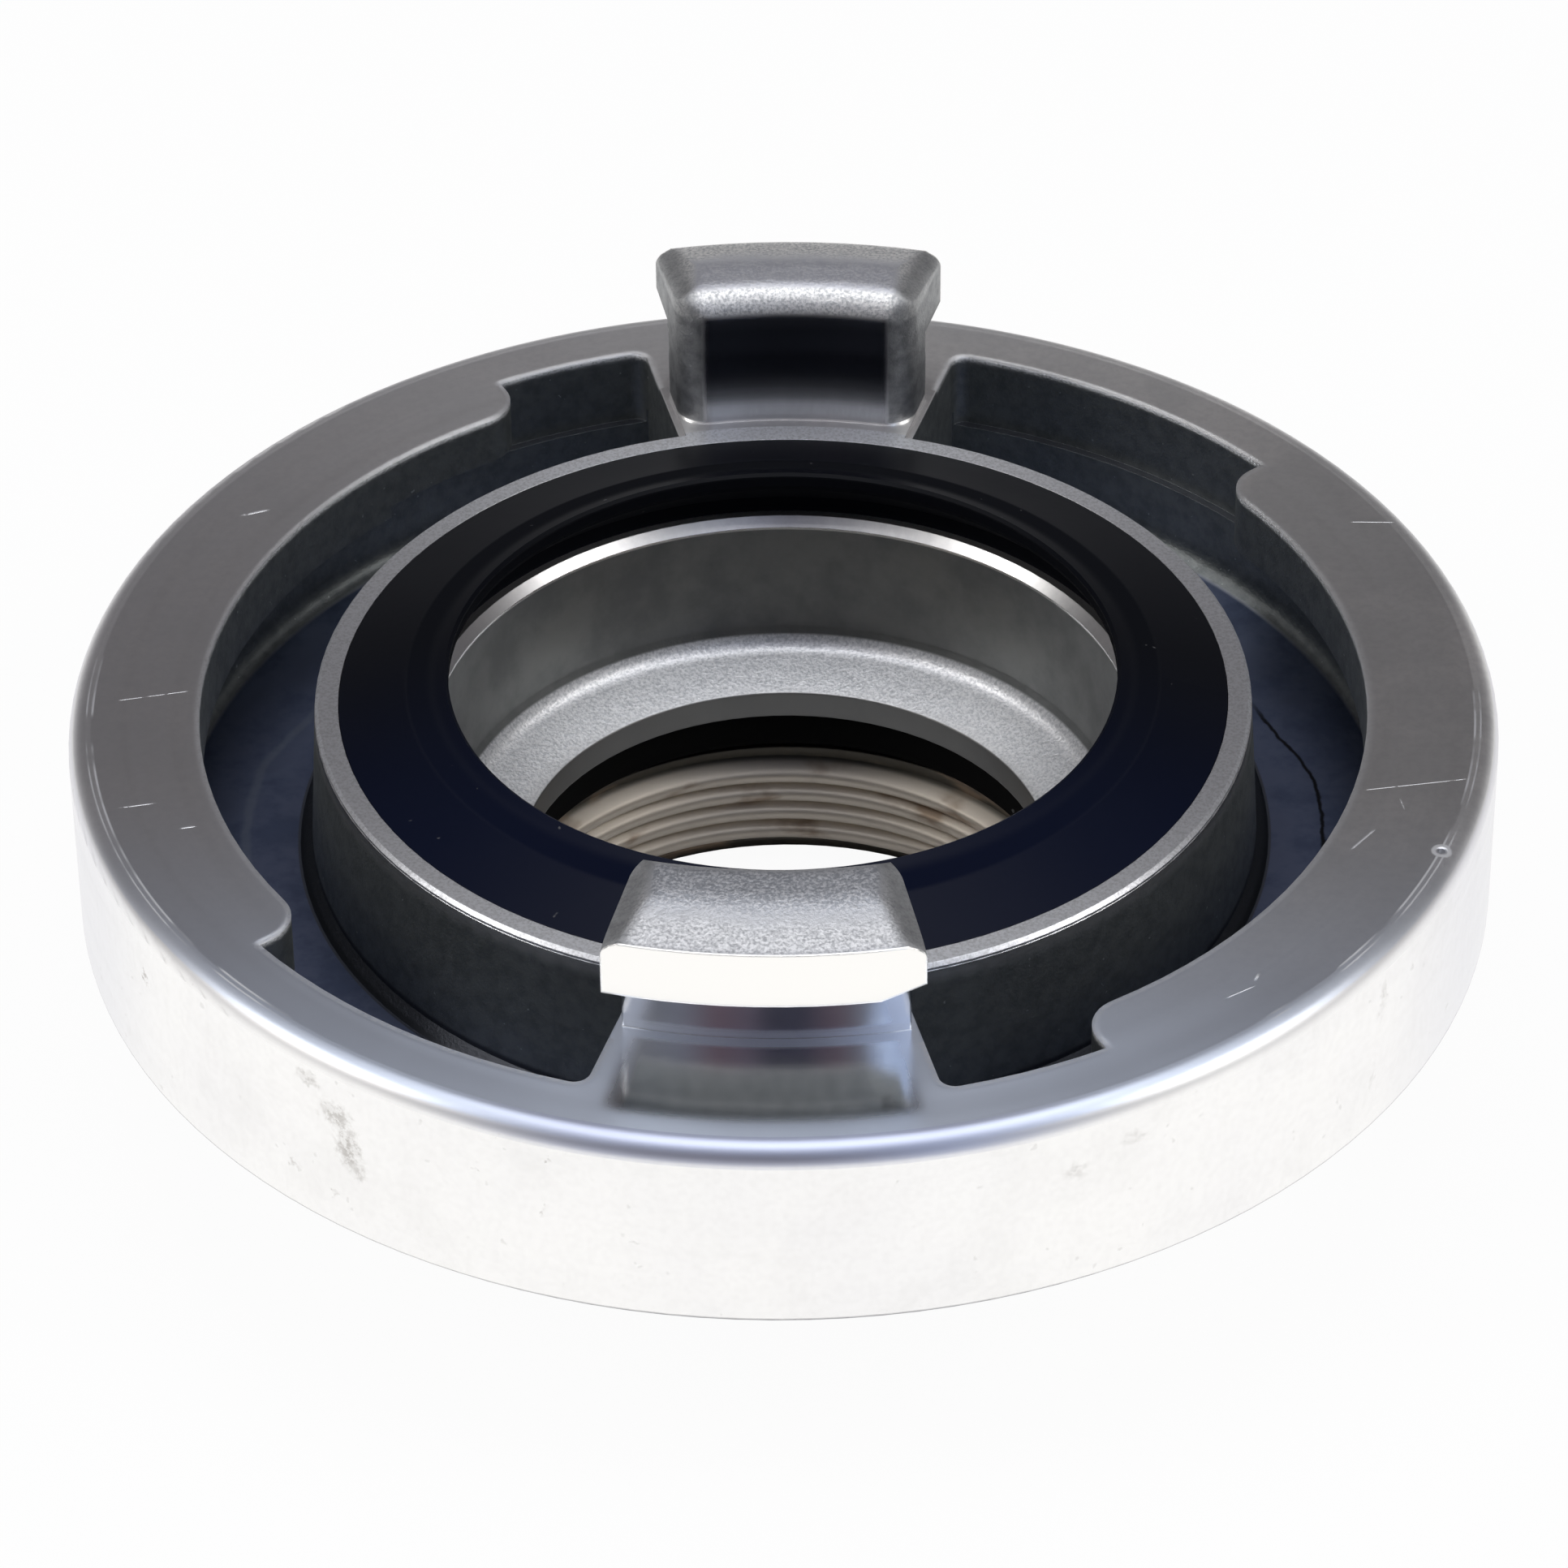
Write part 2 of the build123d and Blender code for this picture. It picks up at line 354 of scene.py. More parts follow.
# ---------------------------------------------------------------- aluminium: colours
WALL_LIGHT = (1.0, 0.99, 0.975)
WALL_DARK = (0.965, 0.955, 0.95)
# Painted shade: the outer wall's sides, seen at a grazing angle
WALL_SIDE_SHADE = (0.78, 0.78, 0.83)
SMUDGE_BROWN = (0.30, 0.27, 0.24)
GRIME_GREY = (0.50, 0.48, 0.46)
# Painted shadow along the outer wall's lower corner
WALL_FOOT_SHADOW = (0.22, 0.22, 0.24)
TOP_LIGHT = (0.98, 0.965, 0.945)
TOP_DARK = (0.80, 0.795, 0.785)
TOP_BAND = (0.72, 0.715, 0.72)
TOP_BLOTCH = (0.58, 0.575, 0.58)
# Painted shade on the top's left
TOP_LEFT_SHADE = (0.70, 0.69, 0.71)
# Painted bluish reflection on the top's front
TOP_FRONT_REFLECTION = (0.80, 0.87, 1.0)
# Painted bluish reflection on the edge's front
EDGE_FRONT_REFLECTION = (0.50, 0.53, 0.68)
GROOVE_LIGHT = (0.31, 0.325, 0.32)
GROOVE_DARK = (0.235, 0.25, 0.25)
GROOVE_SPARKLE = (0.75, 0.77, 0.78)
GROOVE_LEDGE = (0.10, 0.105, 0.12)
FLOOR_LIGHT = (0.17, 0.20, 0.31)
FLOOR_DARK = (0.105, 0.13, 0.215)
TOOL_MARK = (0.02, 0.02, 0.025)
LIGHT_ARC = (0.4, 0.45, 0.52)
# Lug crowns: the rear one painted lighter as lit, the front one painted darker as shaded
LIT_REAR_CROWN_LIGHT = (0.97, 0.96, 0.94)
LIT_REAR_CROWN_DARK = (0.50, 0.51, 0.52)
SHADED_FRONT_CROWN_LIGHT = (0.72, 0.72, 0.73)
SHADED_FRONT_CROWN_DARK = (0.40, 0.405, 0.42)
LIT_REAR_CROWN_TOP = (0.62, 0.63, 0.68)
SHADED_FRONT_CROWN_TOP = (0.40, 0.415, 0.45)
CROWN_TOP_GRAIN = (0.78, 0.78, 0.80)
# Painted shade on the lugs' ends and low sides
LUG_SIDE_SHADE_LIGHT = (0.36, 0.365, 0.37)
LUG_SIDE_SHADE_DARK = (0.24, 0.245, 0.25)
# Painted reflections on the lugs' inner side: of the collar's rim low down, of the black seal above
LUG_INNER_RIM_REFLECTION = (0.55, 0.56, 0.58)
LUG_INNER_SEAL_REFLECTION = (0.10, 0.11, 0.145)
HOOK_FACE = (1.0, 0.985, 0.955)
RIM_LIGHT = (0.86, 0.87, 0.90)
RIM_DARK = (0.60, 0.605, 0.62)
LEDGE_LIGHT = (0.95, 0.95, 0.96)
LEDGE_DARK = (0.62, 0.63, 0.65)
BORE_LIGHT = (0.25, 0.255, 0.25)
BORE_DARK = (0.19, 0.195, 0.195)
THROAT_GREY = (0.20, 0.20, 0.195)
THREAD_CREST_GREY = (0.66, 0.60, 0.52)
# Painted shade in the thread's roots and its relief
THREAD_ROOT_SHADE = (0.14, 0.13, 0.11)
THREAD_STAIN = (0.36, 0.28, 0.21)
# Lip edges: real wear and a painted highlight
WORN_AND_HIGHLIGHT_METAL = (0.93, 0.94, 0.96)
# Scratches and the pit's rim, and the painted highlight rings
SCRATCH_AND_HIGHLIGHT = (0.97, 0.98, 1.0)
PIT_GREY = (0.50, 0.52, 0.60)

# Where painted light sets in and where it is full: painted shade along x for the top's left, a painted
# bluish reflection along y for its front, and painted shade sideways for the wall's sides
LEFT_SHADE_SPAN = (25.0, -45.0)
FRONT_REFLECTION_SPAN = (-8.0, -42.0)
SIDE_SHADE_SPAN = (0.80, 0.97)


# ---------------------------------------------------------------- aluminium: zones
def groove_zones(g):
    """The groove's floor and its cast walls."""
    inside = g.times(
        g.between(g.radius, COLLAR_RADIUS + 0.05, RECESS_RADIUS + 0.1),
        g.below(g.z, FLANGE_TOP - 0.08),
        g.above(g.z, GROOVE_FLOOR - 0.4),
    )
    wall_foot = GROOVE_FLOOR + 0.25
    return {
        "floor": g.times(inside, g.below(g.z, wall_foot, 0.15)),
        "groove": g.times(inside, g.above(g.z, wall_foot, 0.15)),
    }


def polished_web(g):
    """The polished top of the front lug's web."""
    return g.times(
        g.above(g.radius, NECK_RADIUS + 0.9, 0.3),
        g.below(g.radius, WEB_END_RADIUS, 0.8),
        g.between(g.z, FLANGE_TOP - 0.05, LUG_FOOT),
        g.below(g.sideways, WEB_HALF_WIDTH, 0.02),
        g.below(g.y, 0.0),
    )


def lug_zones(g):
    """The lugs' cast skin, undersides, inner sides and turned faces."""
    near = 0.12
    standing = g.above(g.z, LUG_FOOT)
    on_neck = g.times(g.between(g.radius, NECK_RADIUS - near, NECK_RADIUS + near), g.below(g.z, HOOK_FOOT))
    on_hook = g.above(g.radius, HOOK_RADIUS - near)
    on_inner = g.times(g.below(g.radius, LUG_INNER_RADIUS + 0.06), g.below(g.z, LUG_SIDE_TOP, 0.3))
    under = g.times(standing, g.below(g.facing_up, -0.5, 0.1))
    skin = g.times(standing, g.invert(on_neck), g.invert(on_hook), g.invert(on_inner), g.invert(under))
    return {
        "lug": skin,
        "under": under,
        "inner": g.times(standing, on_inner),
        "hook": g.times(standing, on_hook),
        "mirror": g.most(polished_web(g), g.times(standing, g.most(on_neck, on_hook))),
    }


def inside_zones(g):
    """The collar's rim, and from there down: bore, ledge, throat and thread."""
    thread_top = THROAT_FOOT - 0.1
    in_throat = g.below(g.radius, THROAT_RADIUS + 0.06)
    return {
        "rim": g.times(
            g.below(g.radius, COLLAR_RADIUS + 0.1),
            g.between(g.z, FLANGE_TOP + 0.1, FLANGE_TOP + 0.55),
        ),
        "bore": g.times(
            g.below(g.radius, BORE_RADIUS + 0.1),
            g.between(g.z, LEDGE_TOP + 0.5, BORE_TOP, 0.1),
        ),
        "ledge": g.times(
            g.between(g.radius, THROAT_RADIUS + 0.06, BORE_FOOT_RADIUS + 0.2),
            g.between(g.z, THROAT_TOP - 0.1, LEDGE_TOP + 0.9, 0.5),
        ),
        "throat": g.times(in_throat, g.above(g.z, thread_top)),
        "thread": g.times(g.below(g.radius, RELIEF_RADIUS + 0.3), g.below(g.z, thread_top)),
    }


class Metal(Surface):
    """The aluminium's tree, with the masks and noises that its colour, roughness and bumps share."""

    def __init__(self, name):
        super().__init__(name)
        self.true_normal = self.node("NewGeometry").outputs["Normal"]
        self.facing_up = self.split(self.true_normal)["Z"]
        self.flat = self.ramp(self.facing_up, 0.55, 0.75)
        self.zones = {**groove_zones(self), **lug_zones(self), **inside_zones(self)}
        self.cast = self.most(*[self.zones[name] for name in ("groove", "lug", "ledge", "under")])
        self.plain = self.most(*[self.zones[name] for name in ("bore", "floor", "throat")])
        self.rounding = self.times(
            self.between(self.radius, FLANGE_RADIUS - 1.6, FLANGE_RADIUS - 0.02),
            self.above(self.z, FLANGE_TOP - EDGE_ROUNDING),
        )
        self.add_noises()

    def add_noises(self):
        """Noises of cast metal, then those that run round the axis on turned faces."""
        self.grain = self.noise(self.position, *GRAIN)
        self.lumps = self.noise(self.position, *LUMPS)
        self.stain = self.noise(self.position, *STAIN)
        self.cloud = self.noise(self.position, *CLOUD)
        along = self.add(self.times(self.flat, self.radius), self.times(self.invert(self.flat), self.z))
        self.lines = self.turned_noise(along, *LINES)
        self.bands = self.turned_noise(along, *BANDS)
        self.sheen = self.turned_noise(along, *SHEEN)


# ---------------------------------------------------------------- aluminium: soft edges
def flange_rounding(g):
    """The flange's round top edge: its place and its normal."""
    beyond = g.most(g.math("SUBTRACT", g.radius, FLANGE_RADIUS - EDGE_ROUNDING), 0.0)
    over = g.most(g.math("SUBTRACT", g.z, FLANGE_TOP - EDGE_ROUNDING), 0.0)
    inner_end = FLANGE_RADIUS - EDGE_ROUNDING - 0.4
    place = g.times(g.above(g.radius, inner_end), g.above(g.z, FLANGE_FOOT + 0.7))
    return place, g.lean(beyond, over)


def groove_rounding(g):
    """The round root of the groove's outer wall: its place and its normal."""
    inward = g.math("MINIMUM", g.math("SUBTRACT", GROOVE_RADIUS - ROOT_ROUNDING, g.radius), 0.0)
    upward = g.most(g.math("SUBTRACT", GROOVE_FLOOR + ROOT_ROUNDING, g.z), 0.0)
    place = g.times(
        g.between(g.radius, GROOVE_RADIUS - 2.3, GROOVE_RADIUS + 0.3),
        g.below(g.z, GROOVE_FLOOR + 2.2),
        g.above(g.z, GROOVE_FLOOR - 0.3),
    )
    return place, g.lean(inward, upward)


def ledge_rounding(g):
    """The hollow between the sloping ledge and the bore's wall: its place and its normal."""
    rise = g.ramp(g.radius, BORE_FOOT_RADIUS - 1.8, BORE_FOOT_RADIUS + 0.1)
    normal = g.lean(g.blend(rise, -LEDGE_FALL, -1.0), g.blend(rise, 1.0, 0.15))
    place = g.times(
        g.between(g.radius, BORE_FOOT_RADIUS - 2.0, BORE_FOOT_RADIUS + 0.2),
        g.between(g.z, LEDGE_TOP - 0.8, LEDGE_TOP + 1.0, 0.3),
    )
    return place, normal


def bevel_size(g, lip_edge):
    """How far the bevel rounds each place's edges."""
    on_collar = g.times(
        g.below(g.radius, COLLAR_RADIUS + 1.9),
        g.between(g.z, BORE_TOP - 0.4, FLANGE_TOP + 0.55),
    )
    size = g.blend(g.zones["lug"], SOFT_EDGE, SOFT_LUG)
    size = g.blend(g.most(g.zones["groove"], g.zones["floor"]), size, SOFT_GROOVE)
    size = g.blend(lip_edge, size, SOFT_LIP)
    return g.blend(on_collar, size, SOFT_COLLAR)


def smooth_normal(g):
    """The normal with soft edges, and a mask of the lips' rounded edges."""
    lip_edge = g.times(
        g.between(g.radius, LIP_ZONE_START, LIP_ZONE_END),
        g.between(g.z, FLANGE_TOP - 1.1, FLANGE_TOP + 0.2),
    )
    soft = g.bevel(g.times(bevel_size(g, lip_edge), MM))
    normal = soft
    for place, given in (flange_rounding(g), groove_rounding(g), ledge_rounding(g)):
        same_side = g.ramp(g.vector("DOT_PRODUCT", given, g.true_normal), 0.55, 0.75)
        normal = g.mix_normal(g.times(place, same_side), normal, given)
    bent = g.ramp(g.vector("DOT_PRODUCT", soft, g.true_normal), 0.90, 0.992, 1.0, 0.0)
    return normal, g.times(bent, lip_edge)


# ---------------------------------------------------------------- aluminium: finishes
def wall_color(g):
    """The turned outer wall."""
    return g.speckle(g.stain, WALL_LIGHT, WALL_DARK)


def top_color(g):
    """Turned faces that look up: streaks, bands, blotches, painted shade at the left and painted blue
    reflection in front.
    """
    color = g.mix(g.ramp(g.sheen, 0.35, 0.65), TOP_LIGHT, TOP_DARK)
    color = g.mix(g.times(g.ramp(g.bands, 0.45, 0.75), 0.4), color, TOP_BAND)
    blotch = g.ramp(g.noise(g.position, *BLOTCHES), 0.38, 0.66)
    color = g.mix(g.times(blotch, 0.22), color, TOP_BLOTCH)
    # painted shade towards the left
    color = g.mix(g.times(g.ramp(g.x, *LEFT_SHADE_SPAN), 0.5), color, TOP_LEFT_SHADE)
    # painted bluish reflection in front, spared on the lugs and mostly on the polished faces
    spared = g.most(g.zones["lug"], g.times(g.zones["mirror"], 0.8))
    front = g.times(g.ramp(g.y, *FRONT_REFLECTION_SPAN), g.invert(spared))
    return g.mix(front, color, TOP_FRONT_REFLECTION)


def paint_front_edge_reflection(g, color):
    """A painted bluish reflection on the flange's edge in front."""
    place = g.times(g.rounding, g.below(g.y, -40.0, 3.0), g.below(g.sideways, 0.36, 0.16))
    return g.mix(g.times(place, 0.75), color, EDGE_FRONT_REFLECTION)


def groove_color(g):
    """Dark cast walls with a few sparkling grains."""
    sparkle = g.ramp(g.noise(g.position, *SPARKLES), 0.76, 0.80)
    return g.mix(g.times(sparkle, 0.6), g.speckle(g.lumps, GROOVE_LIGHT, GROOVE_DARK), GROOVE_SPARKLE)


def lug_color(g):
    """Grainy crowns, painted lit at the rear and shaded in front; flat on top, painted shade at the ends
    and low down.
    """
    # painted shade on the front lug, painted light on the rear one
    front_shade = g.below(g.y, 0.0, 1.0)
    lit_rear_crown = g.speckle(g.grain, LIT_REAR_CROWN_LIGHT, LIT_REAR_CROWN_DARK)
    shaded_front_crown = g.speckle(g.grain, SHADED_FRONT_CROWN_LIGHT, SHADED_FRONT_CROWN_DARK)
    crown = g.mix(front_shade, lit_rear_crown, shaded_front_crown)
    top = g.mix(front_shade, LIT_REAR_CROWN_TOP, SHADED_FRONT_CROWN_TOP)
    top = g.mix(g.times(g.ramp(g.grain, 0.4, 0.65), 0.7), top, CROWN_TOP_GRAIN)
    ragged_height = g.add(g.z, g.times(g.cloud, 0.6))
    on_top = g.times(g.above(g.facing_up, 0.93, 0.05), g.ramp(ragged_height, LUG_TOP - 0.4, LUG_TOP + 0.3))
    crown = g.mix(on_top, crown, top)
    # painted shade on the lugs' ends and low down
    ends = g.times(g.ramp(g.sideways, *LUG_SHADED_ENDS), 0.75)
    low = g.below(g.z, LUG_SIDE_TOP, 0.5)
    return g.mix(g.most(ends, low), crown, g.speckle(g.lumps, LUG_SIDE_SHADE_LIGHT, LUG_SIDE_SHADE_DARK))


def thread_color(g):
    """Light crests, painted shade in the roots and the relief above the thread, and brown stains."""
    # depth: painted shade growing towards the roots
    depth = g.ramp(g.radius, THREAD_CREST + 0.95, THREAD_ROOT)
    stained = g.ramp(g.turned_noise(g.z, *THREAD_STAINS), 0.55, 0.70)
    return g.mix(stained, g.mix(depth, THREAD_CREST_GREY, THREAD_ROOT_SHADE), THREAD_STAIN)


def finish_colors(g):
    """The colour of each zone; a later one lies over an earlier one."""
    dark_groove_color = groove_color(g)
    return (
        ("groove", dark_groove_color),
        ("floor", g.mix(g.ramp(g.cloud, 0.4, 0.65), FLOOR_LIGHT, FLOOR_DARK)),
        ("lug", lug_color(g)),
        # the inner side: painted reflections, of the rim low down and of the black seal above
        ("inner", g.mix(g.ramp(g.z, LUG_FOOT + 1.2, LUG_FOOT + 4.5), LUG_INNER_RIM_REFLECTION, LUG_INNER_SEAL_REFLECTION)),
        # the hooks' undersides take the groove's dark colour as painted shade
        ("under", dark_groove_color),
        ("rim", g.speckle(g.grain, RIM_LIGHT, RIM_DARK)),
        ("hook", HOOK_FACE),
        ("ledge", g.speckle(g.grain, LEDGE_LIGHT, LEDGE_DARK)),
        ("bore", g.speckle(g.cloud, BORE_LIGHT, BORE_DARK)),
        ("throat", THROAT_GREY),
        ("thread", thread_color(g)),
    )


def darken_groove_ledges(g, color):
    """The collar's root and the ledges in the groove lie in the dark."""
    collar_root = g.times(
        g.between(g.radius, COLLAR_RADIUS + 0.5, COLLAR_RADIUS + 1.7),
        g.between(g.z, GROOVE_FLOOR - 0.1, GROOVE_FLOOR + 1.2, 0.2),
    )
    ledges = g.times(
        g.zones["groove"],
        g.above(g.facing_up, 0.4, 0.2),
        g.above(g.z, GROOVE_FLOOR + 2.2, 0.3),
    )
    return g.mix(g.most(collar_root, ledges), color, GROOVE_LEDGE)


def metal_roughness(g):
    """Turned faces are glossy, cast ones broken up."""
    roughness = g.add(0.18, g.times(g.bands, 0.10))
    for place, value in (
        (g.flat, g.add(0.30, g.times(g.bands, 0.06), g.times(g.sheen, 0.06))),
        (g.zones["rim"], g.add(0.36, g.times(g.grain, 0.16))),
        (g.zones["mirror"], g.add(0.09, g.times(g.bands, 0.05))),
        (g.rounding, 0.42),
        (g.cast, g.add(0.40, g.times(g.grain, 0.2))),
        (g.plain, g.add(0.30, g.times(g.cloud, 0.2))),
        (g.zones["thread"], 0.55),
    ):
        roughness = g.blend(place, roughness, value)
    return roughness


# ---------------------------------------------------------------- aluminium: marks
def scratches(g):
    """Broken scratches on the flange's flat top."""
    on_top = g.times(
        g.above(g.facing_up, 0.98, 0.01),
        g.between(g.z, FLANGE_TOP - 0.05, FLANGE_TOP + 0.05),
    )
    marks = g.most(*[g.segment(start, end, width) for start, end, width in SCRATCHES])
    return g.times(marks, on_top, g.ramp(g.noise(g.position, *SCRATCH_BREAKS), 0.3, 0.5))


def edge_highlight_rings(g):
    """Painted highlight: thin broken light rings on both sides of the flange's edge, fading out towards the
    back.
    """
    rings = g.most(*[g.between(g.radius, inner, outer, 0.05) for inner, outer in EDGE_HIGHLIGHT_RINGS])
    place = g.times(
        g.above(g.z, FLANGE_TOP - 0.2),
        g.ramp(g.sideways, 0.55, 0.75),
        g.ramp(g.y, 8.0, -4.0),
    )
    return g.times(rings, place, g.ramp(g.turned_noise(g.z, *RING_BREAKS), 0.42, 0.55))


def mark_groove_floor(g, color):
    """A wandering dark tool mark on the groove's floor at the right, a faint light one at the left."""
    path = g.math("SUBTRACT", TOOL_MARK_RADIUS, g.times(g.ramp(g.y, 5.0, 12.6), 1.4))
    wander = g.add(g.times(g.noise(g.position, *TOOL_WANDER), 0.5), -0.25)
    off = g.size(g.add(g.radius, g.times(path, -1.0), wander))
    right = g.times(g.ramp(g.unit_x, 0.90, 0.94), g.zones["floor"])
    left = g.times(g.ramp(g.unit_x, -0.88, -0.96), g.zones["floor"])
    color = g.mix(g.times(g.ramp(off, 0.05, 0.22, 1.0, 0.0), right), color, TOOL_MARK)
    return g.mix(g.times(g.ramp(off, 0.1, 0.5, 1.0, 0.0), left, 0.22), color, LIGHT_ARC)


def wall_smudges(g, wall):
    """Ragged smudges of the outer wall."""
    jumble = g.noise(g.position, *SMUDGE_RAGS, output="Color")
    shift = g.vector("SUBTRACT", jumble, (0.5, 0.5, 0.5))
    shift = g.vector("MULTIPLY", shift, (SMUDGE_SHIFT, SMUDGE_SHIFT, SMUDGE_SHIFT))
    place = g.vector("ADD", g.position, shift)
    marks = []
    for degrees, level, width, height, strength in SMUDGES:
        turn = math.radians(degrees)
        centre = (FLANGE_RADIUS * math.cos(turn), FLANGE_RADIUS * math.sin(turn), level)
        marks.append(g.times(g.spot(place, centre, width, height, 0.3), 0.85 * strength))
    broken = g.ramp(g.noise(g.position, *SMUDGE_BREAKS), 0.40, 0.60)
    return g.times(g.most(*marks), g.add(0.35, g.times(broken, 0.9)), wall)


def wall_grime(g, wall):
    """Faint streaks, dirt, mottling and specks of the outer wall."""
    streaks = g.ramp(g.turned_noise(g.z, *WALL_STREAKS), 0.50, 0.75)
    dirt = g.ramp(g.noise(g.position, *WALL_DIRT), 0.48, 0.68)
    mottle = g.ramp(g.noise(g.position, *WALL_MOTTLE), 0.40, 0.65)
    grime = g.times(g.add(g.times(streaks, 0.035), g.times(dirt, 0.07), g.times(mottle, 0.045)), wall)
    specks = g.times(g.ramp(g.noise(g.position, *WALL_SPECKS), 0.70, 0.75), wall, 0.25)
    return g.most(grime, specks)


def soil_and_shade_wall(g, color):
    """The outer wall: painted shade on its sides, smudges, grime and a painted shadow along its lower
    corner.
    """
    near_wall = g.above(g.radius, FLANGE_RADIUS - 0.3)
    wall = g.times(near_wall, g.between(g.z, FLANGE_FOOT, FLANGE_TOP - 0.9, 0.3))
    # painted shade on the outer wall's sides
    color = g.mix(g.times(g.ramp(g.sideways, *SIDE_SHADE_SPAN), near_wall, 0.6), color, WALL_SIDE_SHADE)
    color = g.mix(wall_smudges(g, wall), color, SMUDGE_BROWN)
    color = g.mix(wall_grime(g, wall), color, GRIME_GREY)
    # painted shadow along the wall's lower corner
    foot_shadow = g.times(
        g.above(g.radius, FLANGE_RADIUS - 0.8),
        g.below(g.z, FLANGE_FOOT + 0.50, 0.15),
        g.above(g.z, FLANGE_FOOT - 0.2),
    )
    return g.mix(foot_shadow, color, WALL_FOOT_SHADOW)


# ---------------------------------------------------------------- aluminium: shader
def metal_bumps(g, edges, marks, pit, wear_and_highlight):
    """The final normal: turned lines, then cast skin, then scratches, pit and worn edges."""
    turned = g.invert(g.most(g.cast, g.plain))
    fine = g.bump(g.lines, g.times(0.05, turned), 0.02, edges)
    skin_height = g.add(g.grain, g.times(g.lumps, 1.2))
    skin_strength = g.add(g.times(g.cast, 0.45), g.times(g.plain, 0.06))
    coarse = g.bump(skin_height, skin_strength, 0.08, fine)
    dents = g.add(marks, g.times(pit, -4.0), g.times(wear_and_highlight, g.grain))
    return g.bump(dents, 0.5, 0.06, coarse)


def metal_anisotropy(g):
    """Turned faces stretch their reflections, most where they stand upright."""
    strength = g.blend(g.most(g.flat, g.zones["mirror"], g.rounding, g.zones["rim"]), 0.80, 0.45)
    return g.times(strength, g.invert(g.most(g.cast, g.plain, g.zones["thread"])))


def aluminium():
    """Cast and turned aluminium, with a finish for each zone of the body."""
    g = Metal("aluminium")
    edges, lip_edges = smooth_normal(g)
    # the lips' edges: real wear and a painted highlight
    wear_and_highlight = g.times(lip_edges, g.ramp(g.grain, 0.30, 0.56, 0.15, 0.8))
    marks = scratches(g)
    # painted highlight rings on the flange's edge
    rings = edge_highlight_rings(g)
    pit = g.spot(g.position, PIT, PIT_RADIUS, PIT_HEIGHT)
    pit_rim = g.times(g.spot(g.position, PIT, PIT_RIM_RADIUS, PIT_HEIGHT, 0.85), g.invert(pit))

    color = paint_front_edge_reflection(g, g.mix(g.flat, wall_color(g), top_color(g)))
    for name, finish in finish_colors(g):
        color = g.mix(g.zones[name], color, finish)
    color = darken_groove_ledges(g, color)
    color = g.mix(wear_and_highlight, color, WORN_AND_HIGHLIGHT_METAL)
    color = g.mix(g.most(marks, pit_rim, rings), color, SCRATCH_AND_HIGHLIGHT)
    color = g.mix(g.times(pit, 0.7), color, PIT_GREY)
    color = soil_and_shade_wall(g, mark_groove_floor(g, color))
    roughness = g.blend(g.most(marks, wear_and_highlight, rings, pit_rim), metal_roughness(g), 0.55)

    skin = g.node("BsdfPrincipled")
    skin.inputs["Metallic"].default_value = 1.0
    skin.inputs["Anisotropic Rotation"].default_value = 0.25
    g.put(skin.inputs["Base Color"], color)
    g.put(skin.inputs["Roughness"], roughness)
    g.put(skin.inputs["Anisotropic"], metal_anisotropy(g))
    g.put(skin.inputs["Tangent"], g.node("Tangent", direction_type="RADIAL", axis="Z").outputs[0])
    g.put(skin.inputs["Normal"], metal_bumps(g, edges, marks, pit, wear_and_highlight))
    g.put(g.output.inputs["Surface"], skin.outputs[0])
    return g.material


# ---------------------------------------------------------------- rubber
SEAL_BLACK = (0.0015, 0.002, 0.004)
# Painted bluish reflection on the seal's front
SEAL_FRONT_REFLECTION = (0.002, 0.004, 0.015)
GASKET_BLACK = (0.002, 0.002, 0.002)
DUST_GREY = (0.2, 0.2, 0.2)
# Fineness per millimetre, detail, roughness
RUBBER_HAZE = (0.09, 4.0, 0.55)
RUBBER_SPECKS = (1.8, 2.0, 0.5)
RUBBER_DUST = (1.1, 1.0, 0.5)
# Where the painted reflection in front sets in and where it is full, along y
RUBBER_FRONT_REFLECTION_SPAN = (5.0, -20.0)


def rubber(name, color, front_reflection_color, roughness, specular):
    """Moulded rubber with haze and dust, a painted reflection colour in front and a dull inner side."""
    g = Surface(name)
    inner_side = g.times(g.below(g.radius, SEAL_INNER_RADIUS, 0.2), g.below(g.z, SEAL_INNER_TOP, 0.15))
    haze = g.noise(g.position, *RUBBER_HAZE)
    specks = g.noise(g.position, *RUBBER_SPECKS)
    dust = g.ramp(g.noise(g.position, *RUBBER_DUST), 0.79, 0.82)
    front_reflected_color = g.mix(g.ramp(g.y, *RUBBER_FRONT_REFLECTION_SPAN), color, front_reflection_color)
    skin = g.node("BsdfPrincipled")
    skin.inputs["Specular IOR Level"].default_value = specular
    g.put(skin.inputs["Base Color"], g.mix(g.times(dust, 0.4), front_reflected_color, DUST_GREY))
    g.put(skin.inputs["Roughness"], g.blend(inner_side, g.add(roughness, g.times(haze, 0.15)), 0.95))
    g.put(skin.inputs["Normal"], g.bump(specks, 0.12, 0.03))
    g.put(g.output.inputs["Surface"], skin.outputs[0])
    return g.material


def dress(thing, material):
    thing.data.materials.clear()
    thing.data.materials.append(material)
    for polygon in thing.data.polygons:
        polygon.material_index = 0


METAL = aluminium()
dress(BODY, METAL)
dress(SEAL, rubber("seal_rubber", SEAL_BLACK, SEAL_FRONT_REFLECTION, 0.30, 0.10))
dress(GASKET, rubber("gasket_rubber", GASKET_BLACK, GASKET_BLACK, 0.6, 0.1))


